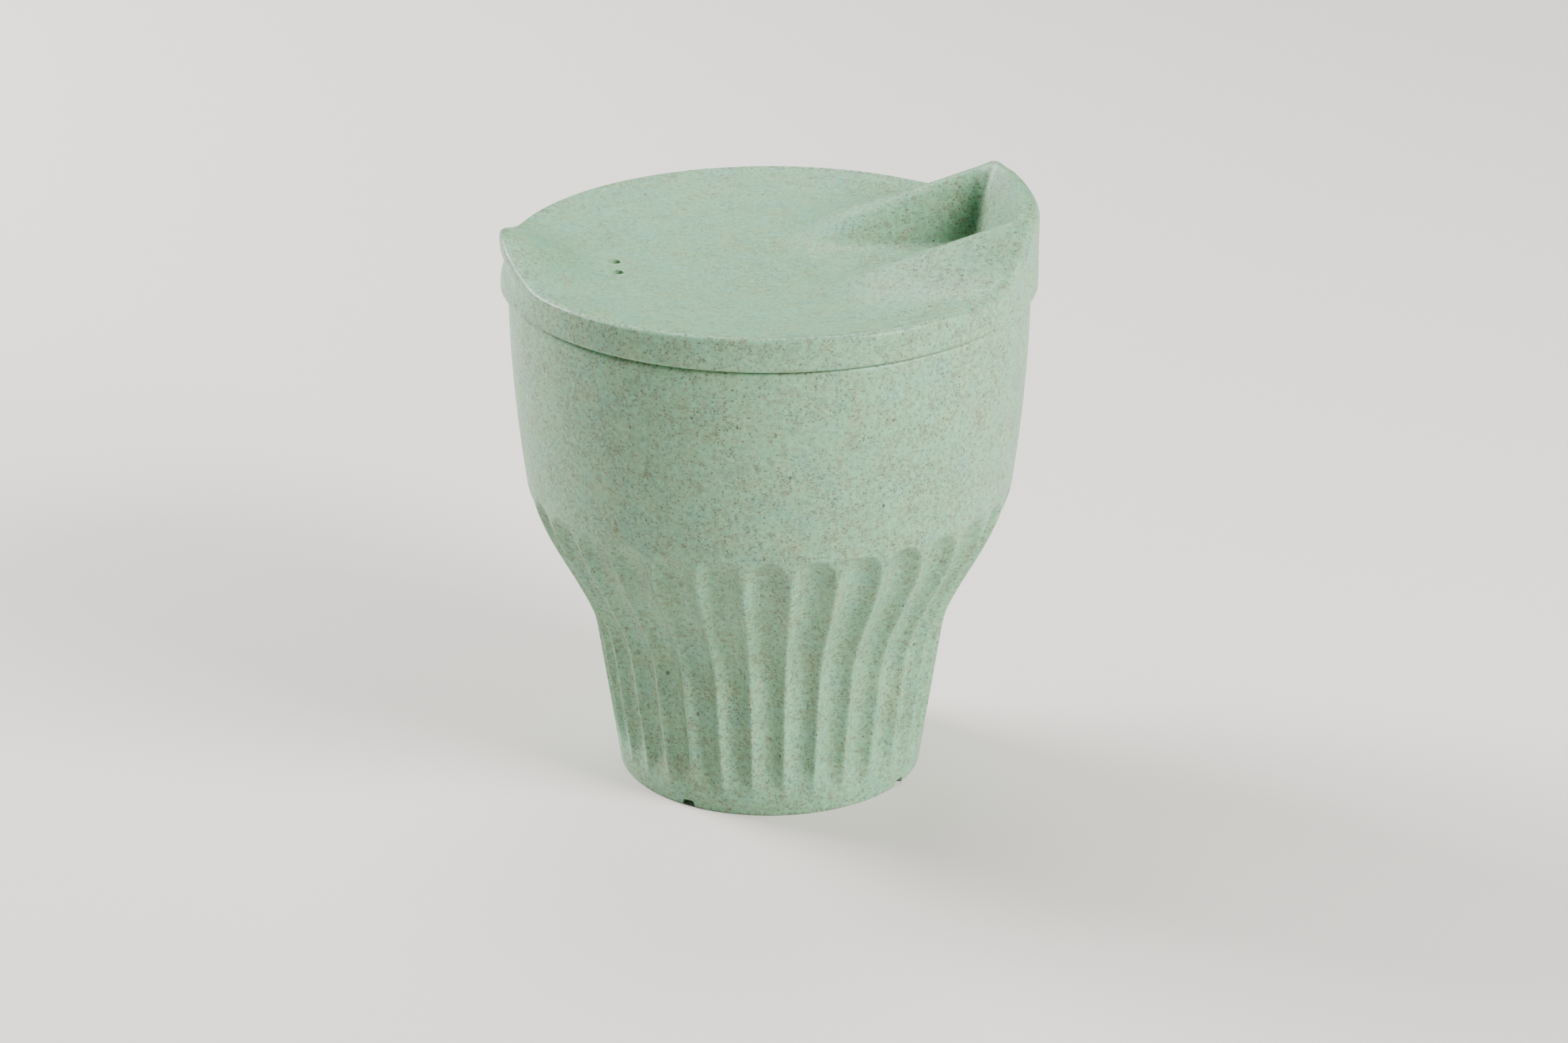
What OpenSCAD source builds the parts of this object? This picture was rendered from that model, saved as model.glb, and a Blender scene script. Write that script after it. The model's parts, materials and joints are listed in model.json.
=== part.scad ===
// Reusable drinking cup with a press-in sip lid and a soft seal ring.
// Millimetres. +Z is up, the origin is the middle of the foot where it stands,
// and +X points at the sip spout.

/* [Cup wall] */
// Height of the cup to the top of its rim
cup_h = 93.8; // [86:0.1:115]
// Radius of the rim
rim_r = 47.15; // [40:0.05:57]
// Rounding of the rim's outer edge
rim_round = 0.9; // [0.4:0.1:1.2]
// Radius of the foot where it stands
foot_r = 28; // [24:0.1:33.6]
// Slope of the wall at the foot and up to the waist, outwards per mm of height
waist_slope = 0.15; // [0.05:0.01:0.2]
// Height of the waist, where the straight lower wall ends
waist_z = 27; // [22:0.5:33]
// Radius of the waist
waist_r = 32.1; // [27:0.1:38.5]
// Height of the shoulder, where the belly ends
shoulder_z = 57; // [47:0.5:69]
// How far the shoulder lies inside the rim
shoulder_in = 2.6; // [1:0.1:4]
// Slope of the wall at the shoulder, outwards per mm of height
shoulder_slope = 0.136; // [0.05:0.01:0.2]
// Thickness of the wall, measured across
wall_t = 2.3; // [1.9:0.1:2.8]

/* [Flutes] */
// Number of flutes round the lower body
flute_count = 32; // [24:1:40]
// Depth of a flute, as a share of the wall's radius
flute_share = 0.063; // [0.03:0.001:0.065]
// Width of the rounded ridge between flutes, as a share of half a flute
ridge_w = 0.17; // [0.1:0.01:0.3]
// Height where the flutes start to sink into the wall
flute_low_z = 2.5; // [2:0.5:6]
// Height over which they reach their full depth
flute_fade = 9; // [4:0.5:12]
// How far the tops of the arches lie above the shoulder
flute_over = 0.6; // [-3:0.1:4]
// Height of the arch that ends each flute
arch_h = 7.5; // [4:0.5:10]
// Turn of the flutes about the cup's axis, in degrees
flute_turn = 3.67; // [0:0.01:11.25]

/* [Foot] */
// Width of the ring that the cup stands on
foot_w = 2.4; // [1.8:0.1:4]
// Height of the hollow under the floor
foot_lift = 2.8; // [2:0.1:5]
// Thickness of the floor
floor_t = 3; // [2:0.1:5]
// Rounding between the floor and the wall inside
floor_round = 5; // [2:0.5:8]
// Number of drain notches in the foot
notch_count = 4; // [2:1:8]
// Width of a notch at its foot
notch_w = 2.8; // [1.6:0.1:5]
// Width of a notch at its top
notch_top_w = 2.1; // [1.2:0.1:4]
// Height of a notch
notch_h = 1.3; // [0.6:0.1:2]
// Corner cut at the top of a notch
notch_corner = 0.35; // [0.1:0.05:0.5]
// Turn of the first notch about the cup's axis, in degrees
notch_turn = 51; // [0:1:90]

/* [Lid] */
// Clearance between the lid and the top of the rim
seat_gap = 0.1; // [0.05:0.05:0.3]
// Height of the lid's rim above the cup's rim
lid_h = 6.2; // [5:0.1:8]
// How far the lid's skirt stands out past the rim
skirt_out = 0.75; // [0.4:0.05:1.5]
// Bevel at the bottom edge of the skirt
skirt_bevel = 0.4; // [0.3:0.1:1.4]
// Rounding of the lid's rim
crest_round = 0.9; // [0.5:0.1:1.2]
// Depth of the dish below the lid's rim
dish_depth = 3.2; // [2:0.1:3.6]
// Thickness of the lid
lid_t = 2.2; // [1.6:0.1:2.6]

/* [Spout] */
// Height of the spout above the dish at the rim
spout_h = 12.4; // [8:0.1:14]
// Half width of the spout where its flanks fall away
spout_half_w = 23.5; // [19:0.5:28]
// Half angle of the spout's front, in degrees
spout_half = 58; // [45:1:65]
// How far the spout's front stands out past the skirt
spout_out = 0.6; // [0:0.1:1]
// Extra rounding of the rim at the spout
spout_round = 2.4; // [1:0.1:2.6]
// Distance from the rim's radius to the foot of the pocket's end wall
pocket_in = 7.5; // [6.5:0.1:9]
// Slope of the pocket's end wall, mm up per mm outwards
end_slope = 2.6; // [2:0.1:3.5]
// Half width of the pocket's floor at its end
pocket_half_w = 9.5; // [8:0.1:11]
// Height of the pocket's floor above the cup's rim
pocket_z = 2.6; // [2.5:0.1:3.4]
// Blend between the pocket and the spout's back
ridge_blend = 5.5; // [2:0.5:7]
// Extra height of the spout's nose
nose_rise = 1.9; // [0:0.1:2.5]
// Half width of the nose
nose_half_w = 13; // [10:0.5:16]
// Extra blend between the pocket's end wall and the nose
nose_blend = 4.5; // [1:0.5:5]
// Blend between the pocket's sides and its end wall, near the floor
crease = 0.4; // [0.2:0.1:1]
// How much that blend grows per mm of height
crease_fade = 0.9; // [0:0.1:1]

/* [Holes] */
// Width of the drinking hole
drink_w = 5; // [4:0.5:6]
// Length of the drinking hole across the pocket
drink_l = 12; // [9:0.5:15]
// Distance from the pocket's end wall to the middle of the drinking hole
drink_in = 4; // [3:0.5:6]
// Radius of a vent hole
vent_r = 1.15; // [0.8:0.05:1.6]
// Distance between the two vent holes
vent_gap = 5.7; // [4:0.1:8]
// Distance of the vent holes from the lid's axis
vent_at = 27.7; // [20:0.1:32]

/* [Thumb tab] */
// Rise of the rim at the thumb tab
tab_h = 4.4; // [2:0.1:5.5]
// Half angle of the thumb tab, in degrees
tab_half = 26; // [18:1:32]
// How far the tab's edge stands out past the skirt
tab_out = 0.6; // [0:0.1:1]
// Depth of the finger recess under the tab
recess_d = 1.3; // [0.5:0.1:1.6]
// Height of the recess's middle above the cup's rim
recess_z = 5; // [4:0.1:6]
// Half height of the recess
recess_half_h = 1.8; // [1:0.1:2.4]

/* [Plug and seal] */
// Clearance between the plug and the cup's mouth
plug_gap = 0.4; // [0.3:0.05:0.8]
// Thickness of the plug's wall
plug_t = 2.4; // [2.1:0.1:3]
// Depth of the plug below the cup's rim
plug_h = 7.8; // [7:0.1:9.5]
// Height of the seal ring
seal_h = 2.8; // [2:0.1:3.4]
// Depth of the seal ring's groove in the plug
groove_d = 1.3; // [0.9:0.1:1.5]
// Running clearance round the seal ring
seal_gap = 0.05; // [0.03:0.01:0.1]
// Radius of a lip on the seal ring
lip_r = 0.5; // [0.3:0.05:0.6]

/* [Hidden] */
$fn = 128;
leaf = "#a9c4b1";
milk = "#e4e3dc";
eps = 0.01;

// Shape of a flute across it and of the arch at its top
cove_power = 2.2;
arch_power = 3;
// Share of a flute's depth by which the wall is thicker inside
backing = 0.8;
// Distances from the axis where the lid's features begin, and over which they rise
spout_from = 2;
spout_over = 14;
nose_from = 24;
nose_over = 16;
pocket_from = 8;
tab_from = 30;
tab_over = 16;
// How the dish and the spout rise outwards
dish_power = 2.5;
spout_power = 0.8;
// How sharply the spout's flanks fall away
spout_edge = 4;
// Slope of the pocket's sides where it begins, and how much steeper they end
side_slope = 0.55;
side_gain = 1.9;
side_power = 1.5;
// How much narrower the pocket is where it begins, how far inside the rim it reaches its full width,
// and the blend at its floor
pocket_taper = 2;
pocket_full_in = 7;
floor_blend = 2;
// Thickness of the lid's plate measured upright, as a multiple of its thickness
upright = 1.25;
// How far the plate's underside lies above the rim's face, and inside the plug
under_lift = 0.2;
under_in = 0.8;
// Corner cut round the foot of the plug, and how far the plug reaches up into the plate
plug_corner = 0.6;
plug_root = 0.6;

// Heights and radii that follow from the sizes above
mouth_r = rim_r - wall_t;
mouth_deep = plug_h + 3;
land_z = cup_h + seat_gap;
lid_rim_z = cup_h + lid_h;
skirt_r = rim_r + skirt_out;
dish_z = lid_rim_z - dish_depth;
floor_z = foot_lift + floor_t;
flute_top = shoulder_z + flute_over;
plug_r = mouth_r - plug_gap;
plug_low = cup_h - plug_h;
groove_r = plug_r - groove_d;
groove_h = seal_h + 2 * seal_gap;
seal_z = cup_h - plug_h / 2;
seal_in_r = groove_r + seal_gap;
seal_out_r = mouth_r - seal_gap;
pocket_end_r = rim_r - pocket_in;
pocket_mouth_r = rim_r - pocket_full_in;
pocket_floor = cup_h + pocket_z;
under_r = plug_r - plug_t - under_in;

// Eased step from 0 to 1
function ease(t) = let (c = min(max(t, 0), 1)) c * c * (3 - 2 * c);
// Raised cosine window, 1 at the middle and 0 past the half width
function window(a, half) = 0.5 + 0.5 * cos(180 * min(abs(a) / half, 1));
// Smallest of two heights, blended over k
function soft_min(a, b, k) =
    let (h = min(max(0.5 + 0.5 * (b - a) / k, 0), 1)) b * (1 - h) + a * h - k * h * (1 - h);
function soft_max(a, b, k) = -soft_min(-a, -b, k);
// Curve from r0 to r1 over t = 0 to 1, leaving with slope m0 and arriving with m1
function curve(t, h, r0, m0, r1, m1) =
    r0 * (2 * t ^ 3 - 3 * t ^ 2 + 1) + m0 * h * (t ^ 3 - 2 * t ^ 2 + t)
    + r1 * (3 * t ^ 2 - 2 * t ^ 3) + m1 * h * (t ^ 3 - t ^ 2);
// One knot of the wall to the next, at height z
function span_r(z, a, b) = curve((z - a[0]) / (b[0] - a[0]), b[0] - a[0], a[1], a[2], b[1], b[2]);

// Knots of the cup's outer wall: height, radius, slope
foot_knot = [0, foot_r, waist_slope];
waist_knot = [waist_z, waist_r, waist_slope];
shoulder_knot = [shoulder_z, rim_r - shoulder_in, shoulder_slope];
rim_knot = [cup_h, rim_r, 0];
function wall_r(z) =
    z < waist_z ? span_r(z, foot_knot, waist_knot)
    : z < shoulder_z ? span_r(z, waist_knot, shoulder_knot)
    : span_r(min(z, cup_h), shoulder_knot, rim_knot);

// Depth of the flutes at height z, q from -1 at one ridge to 1 at the next
function flute_depth(q, z) =
    let (past = max(abs(q) - 1 + ridge_w, 0),
         cove = 1 - abs(q) ^ cove_power + past ^ 2 / ridge_w - ridge_w,
         s = max((z - flute_top + arch_h) / arch_h, 0))
    wall_r(z) * flute_share * ease((z - flute_low_z) / flute_fade) * max(cove - s ^ arch_power, 0);
// Inner radius of the wall, thicker behind the flutes
function inner_r(z) = wall_r(z) - wall_t - backing * flute_depth(0, z);

// Rings of points from the bottom up, joined into one closed skin
module skin(rings) {
    n = len(rings[0]);
    last = len(rings) - 1;
    sides = [for (k = [0:last - 1]) for (i = [0:n - 1])
        let (a = k * n + i, b = k * n + (i + 1) % n) each [[a, b + n, b], [a, a + n, b + n]]];
    floor_face = [for (i = [0:n - 1]) i];
    top_face = [for (i = [n - 1:-1:0]) last * n + i];
    polyhedron(points = [for (ring = rings) each ring], faces = concat([floor_face], sides, [top_face]));
}

// ---- cup ----
flute_steps = 4;
cup_sides = flute_count * flute_steps;
low_rows = [0, flute_low_z, for (k = [1:3]) flute_low_z + flute_fade * k / 3];
belly_rows = [for (k = [1:9]) let (a = low_rows[4]) a + (flute_top - arch_h - a) * k / 9];
arch_rows = [for (s = [0.5, 0.75, 0.9, 1]) flute_top - arch_h * (1 - s)];
upper_rows = [for (k = [1:5]) flute_top + (cup_h - rim_round - flute_top) * k / 5];
cup_rows = concat(low_rows, belly_rows, arch_rows, upper_rows);

function cup_ring(z) = [for (i = [0:cup_sides - 1])
    let (q = (i % flute_steps) / flute_steps * 2, a = flute_turn + (i - flute_steps / 2) * 360 / cup_sides,
         r = wall_r(z) - flute_depth(q - 1, z))
    [r * cos(a), r * sin(a), z]];
function rim_ring(a) = [for (i = [0:cup_sides - 1])
    let (t = flute_turn + (i - flute_steps / 2) * 360 / cup_sides, r = rim_r - rim_round * (1 - cos(a)))
    [r * cos(t), r * sin(t), cup_h - rim_round * (1 - sin(a))]];

// Inside of the cup, from the middle of the floor up to the open mouth
inner_low_r = inner_r(floor_z + floor_round);
cavity_outline = concat(
    [[0, floor_z]],
    [for (a = [-90:15:-15])
        [inner_low_r - floor_round + floor_round * cos(a), floor_z + floor_round + floor_round * sin(a)]],
    [for (k = [0:16])
        let (z = floor_z + floor_round + (cup_h - mouth_deep - floor_z - floor_round) * k / 17)
        [inner_r(z), z]],
    [[mouth_r, cup_h - mouth_deep], [mouth_r, cup_h - rim_round / 2], [mouth_r + rim_round / 2, cup_h + eps],
     [mouth_r + rim_round / 2, cup_h + 1], [0, cup_h + 1]]);

module drain_notch() {
    half = notch_w / 2;
    top = notch_top_w / 2;
    translate([foot_r - foot_w - 1.5, 0, 0])
        rotate([90, 0, 90])
            linear_extrude(height = foot_w + 4)
                polygon([[-half, -1], [half, -1], [half, 0], [top, notch_h - notch_corner],
                         [top - notch_corner, notch_h], [notch_corner - top, notch_h],
                         [-top, notch_h - notch_corner], [-half, 0]]);
}

module foot_hollow() {
    low = foot_r - foot_w;
    rotate_extrude()
        polygon([[0, -1], [low, -1], [low, 0], [low - 0.6, foot_lift], [0, foot_lift]]);
}

module cup() {
    color(leaf)
        difference() {
            skin(concat([for (z = cup_rows) cup_ring(z)], [for (a = [30:30:90]) rim_ring(a)]));
            rotate_extrude()
                polygon(cavity_outline);
            foot_hollow();
            for (k = [0:notch_count - 1])
                rotate([0, 0, notch_turn + k * 360 / notch_count])
                    drain_notch();
        }
}

// ---- lid ----
function dish(r) = dish_z + dish_depth * (r / rim_r) ^ dish_power;
function spout_rise(x, y) =
    x <= spout_from ? 0
    : spout_h * (x / rim_r) ^ spout_power * ease((x - spout_from) / spout_over)
        * exp(-(abs(y) / spout_half_w) ^ spout_edge);
function tab_rise(x, y) =
    tab_h * window(180 - abs(atan2(y, x)), tab_half) * ease((norm([x, y]) - tab_from) / tab_over);
// Weight of the spout's rounded nose, from 0 to 1
function nose(x, y) = ease((x - nose_from) / nose_over) * exp(-(y / nose_half_w) ^ 2);
// Back of the lid before the pocket is taken out of it
function lid_back(x, y) = dish(norm([x, y])) + spout_rise(x, y) + tab_rise(x, y) + nose_rise * nose(x, y);
// The pocket's sides, end wall and floor, moved outwards by t
function pocket_along(x) = min(max(x / pocket_mouth_r, 0), 1);
function pocket_side(x, y, t) =
    let (s = side_slope + side_gain * pocket_along(x) ^ side_power,
         half = pocket_half_w - pocket_taper * (1 - pocket_along(x)))
    pocket_floor + (abs(y) - half) * s - t * sqrt(1 + s ^ 2);
function pocket_end(x, y, t) =
    pocket_floor + (norm([x, y]) - pocket_end_r) * end_slope - t * sqrt(1 + end_slope ^ 2);
function pocket(x, y, t) =
    let (side = pocket_side(x, y, t), end = pocket_end(x, y, t),
         above = max(min(side, end) - pocket_floor - 1, 0),
         wall = soft_max(side, end, crease + crease_fade * above))
    soft_max(wall, pocket_floor - t, floor_blend) + max(pocket_from - x, 0);
// Blend between the pocket and the back, widest at the nose
function top_blend(x, y) = ridge_blend + nose_blend * nose(x, y);
function lid_top(x, y) = soft_min(lid_back(x, y), pocket(x, y, 0), top_blend(x, y));
// Underside of the lid's plate, never lower than the face that meets the rim
function lid_under(x, y) =
    max(soft_min(lid_back(x, y) - upright * lid_t, pocket(x, y, lid_t), top_blend(x, y)), land_z + under_lift);

// Azimuths, closer together at the spout
lid_sides = 96;
function lid_azimuth(i) = let (a = 360 * i / lid_sides) a - 30 * sin(a);
function skirt_at(a) =
    let (b = abs(a > 180 ? 360 - a : a))
    skirt_r + spout_out * window(b, spout_half) + tab_out * window(180 - b, tab_half);
function round_at(a) = crest_round + spout_round * window(a > 180 ? 360 - a : a, spout_half);
function recess_at(a, z) =
    recess_d * window(180 - a, tab_half) * exp(-((z - cup_h - recess_z) / recess_half_h) ^ 2);

function lid_ring(r_of, z_of, v) = [for (i = [0:lid_sides - 1])
    let (a = lid_azimuth(i), r = r_of(a, v)) [r * cos(a), r * sin(a), z_of(a, v)]];
function flat_ring(r, z) = lid_ring(function(a, v) r, function(a, v) z, 0);
crest_r = function(a) skirt_at(a) - round_at(a);
crest_z = function(a) lid_top(crest_r(a) * cos(a), crest_r(a) * sin(a));
side_z = function(a, v) land_z + skirt_bevel + (crest_z(a) - round_at(a) - land_z - skirt_bevel) * v;
side_r = function(a, v) skirt_at(a) - recess_at(a, side_z(a, v));
edge_r = function(a, v) side_r(a, 1) - round_at(a) * (1 - cos(v));
edge_z = function(a, v) crest_z(a) - round_at(a) * (1 - sin(v));
top_r = function(a, v) edge_r(a, 90) * v;
top_z = function(a, v) lid_top(top_r(a, v) * cos(a), top_r(a, v) * sin(a));
under_z = function(a, v) lid_under(under_r * v * cos(a), under_r * v * sin(a));

top_steps = [0.985, 0.97, 0.95, 0.93, 0.91, 0.89, 0.87, 0.84, 0.8, 0.75, 0.69, 0.62, 0.54, 0.45, 0.36, 0.26,
             0.14, 0.02];
under_steps = [0.02, 0.2, 0.36, 0.48, 0.58, 0.67, 0.75, 0.82, 0.88, 0.93, 0.97];
lid_rings = concat(
    [for (v = under_steps) lid_ring(function(a, k) under_r * k, under_z, v)],
    [flat_ring(under_r, land_z)],
    [flat_ring(skirt_r - skirt_bevel, land_z)],
    [for (v = [0, 0.25, 0.5, 0.75, 1]) lid_ring(side_r, side_z, v)],
    [for (v = [30, 60, 90]) lid_ring(edge_r, edge_z, v)],
    [for (v = top_steps) lid_ring(top_r, top_z, v)]);

module plug() {
    half = groove_h / 2;
    rotate_extrude()
        polygon([[plug_r - plug_t, plug_low], [plug_r - plug_corner, plug_low], [plug_r, plug_low + plug_corner],
                 [plug_r, seal_z - half], [groove_r, seal_z - half], [groove_r, seal_z + half],
                 [plug_r, seal_z + half], [plug_r, land_z + plug_root], [plug_r - plug_t, land_z + plug_root]]);
}

module drinking_hole() {
    at = pocket_end_r - drink_in;
    reach = (drink_l - drink_w) / 2;
    translate([at, 0, land_z - 1]) {
        translate([-drink_w / 2, -reach, 0])
            cube([drink_w, 2 * reach, 6]);
        for (side = [-1, 1])
            translate([0, side * reach, 0])
                cylinder(h = 6, d = drink_w);
    }
}

module vents() {
    for (side = [-1, 1])
        translate([-vent_at, side * vent_gap / 2, land_z - 1])
            cylinder(h = 8, r = vent_r, $fn = 32);
}

module lid() {
    color(leaf)
        difference() {
            union() {
                skin(lid_rings);
                plug();
            }
            drinking_hole();
            vents();
        }
}

// ---- seal ring ----
module seal_ring() {
    back_r = seal_out_r - lip_r;
    color(milk)
        rotate_extrude()
            union() {
                translate([seal_in_r, seal_z - seal_h / 2])
                    square([back_r - seal_in_r, seal_h]);
                for (side = [-1, 1])
                    translate([back_r, seal_z + side * (seal_h / 2 - lip_r)])
                        circle(r = lip_r, $fn = 32);
            }
}

cup();
lid();
seal_ring();
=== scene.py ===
"""Reusable drinking cup with a press-in sip lid: its looks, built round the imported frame.

The cup is one moulding with flutes in its lower body and drain notches in its foot. The lid is one
moulding with a dish, a sip spout with a pocket, a thumb tab, two vents and a plug that carries a
soft seal ring. Everything is in metres in the frame's axes: +Z up, +X towards the spout.
"""

import json
import logging
import math
from dataclasses import dataclass, field, replace
from enum import Enum
from typing import Sequence

import bpy
import numpy as np
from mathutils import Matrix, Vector

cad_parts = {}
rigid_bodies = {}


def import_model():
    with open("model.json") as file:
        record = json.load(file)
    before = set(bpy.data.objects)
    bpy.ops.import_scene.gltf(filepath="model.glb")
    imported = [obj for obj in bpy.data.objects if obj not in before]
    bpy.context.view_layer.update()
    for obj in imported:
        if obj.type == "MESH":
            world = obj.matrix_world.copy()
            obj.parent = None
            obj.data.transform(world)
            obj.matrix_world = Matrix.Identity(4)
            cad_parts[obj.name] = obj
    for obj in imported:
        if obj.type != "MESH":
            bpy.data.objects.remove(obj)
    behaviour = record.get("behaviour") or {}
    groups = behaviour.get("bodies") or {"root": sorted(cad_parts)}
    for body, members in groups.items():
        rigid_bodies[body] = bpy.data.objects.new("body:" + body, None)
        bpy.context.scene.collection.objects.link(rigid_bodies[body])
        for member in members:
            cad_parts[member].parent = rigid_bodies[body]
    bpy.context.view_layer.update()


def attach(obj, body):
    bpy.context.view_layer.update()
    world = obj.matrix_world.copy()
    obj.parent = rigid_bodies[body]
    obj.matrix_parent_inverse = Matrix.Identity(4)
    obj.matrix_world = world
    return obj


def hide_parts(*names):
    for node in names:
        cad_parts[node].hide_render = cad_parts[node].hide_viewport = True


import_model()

MM = 0.001
WELD = 1e-6
SHARP_EDGE = 35.0

# Rings of the lid's underside as shares of its radius, closer together near the plug
UNDER_STEPS = (
    0.99, 0.98, 0.965, 0.95, 0.93, 0.91, 0.88, 0.85, 0.81, 0.77, 0.73,
    0.68, 0.63, 0.58, 0.52, 0.46, 0.4, 0.33, 0.26, 0.18, 0.1, 0.02,
)
LOG = logging.getLogger("cup")

Socket = bpy.types.NodeSocket
Value = Socket | float
Colour = tuple[float, float, float]
Outline = list[tuple[float, float]]


class Body(Enum):
    """The frame's bodies."""

    CUP = "cup"
    SEAL = "seal"
    LID = "lid"


# --------------------------------------------------------------------------- curves and heights


def ease(t: np.ndarray) -> np.ndarray:
    """Eased step from 0 to 1."""
    c = np.clip(t, 0.0, 1.0)
    return c * c * (3.0 - 2.0 * c)


def window(angle: np.ndarray, half: float) -> np.ndarray:
    """Raised cosine, 1 at the middle and 0 past the half width, both in degrees."""
    return 0.5 + 0.5 * np.cos(np.pi * np.minimum(np.abs(angle) / half, 1.0))


def soft_min(a: np.ndarray, b: np.ndarray, k: float) -> np.ndarray:
    """Lower of two heights, blended over k.

    Args:
        a: First height.
        b: Second height.
        k: Height difference over which the two blend.

    Returns:
        The blended lower height.
    """
    h = np.clip(0.5 + 0.5 * (b - a) / k, 0.0, 1.0)
    return b * (1.0 - h) + a * h - k * h * (1.0 - h)


def soft_max(a: np.ndarray, b: np.ndarray, k: float) -> np.ndarray:
    """Higher of two heights, blended over k."""
    return -soft_min(-a, -b, k)


def arc(centre: Sequence[float], radius: float, start: float, end: float, steps: int) -> Outline:
    """Points along an arc in the radius-height plane.

    Args:
        centre: Radius and height of the arc's centre.
        radius: Radius of the arc.
        start: First angle, in degrees.
        end: Last angle, in degrees.
        steps: Number of steps between them.

    Returns:
        The points, both ends included.
    """
    turns = [math.radians(start + (end - start) * i / steps) for i in range(steps + 1)]
    return [(centre[0] + radius * math.cos(t), centre[1] + radius * math.sin(t)) for t in turns]


# --------------------------------------------------------------------------- node and mesh helpers


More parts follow.
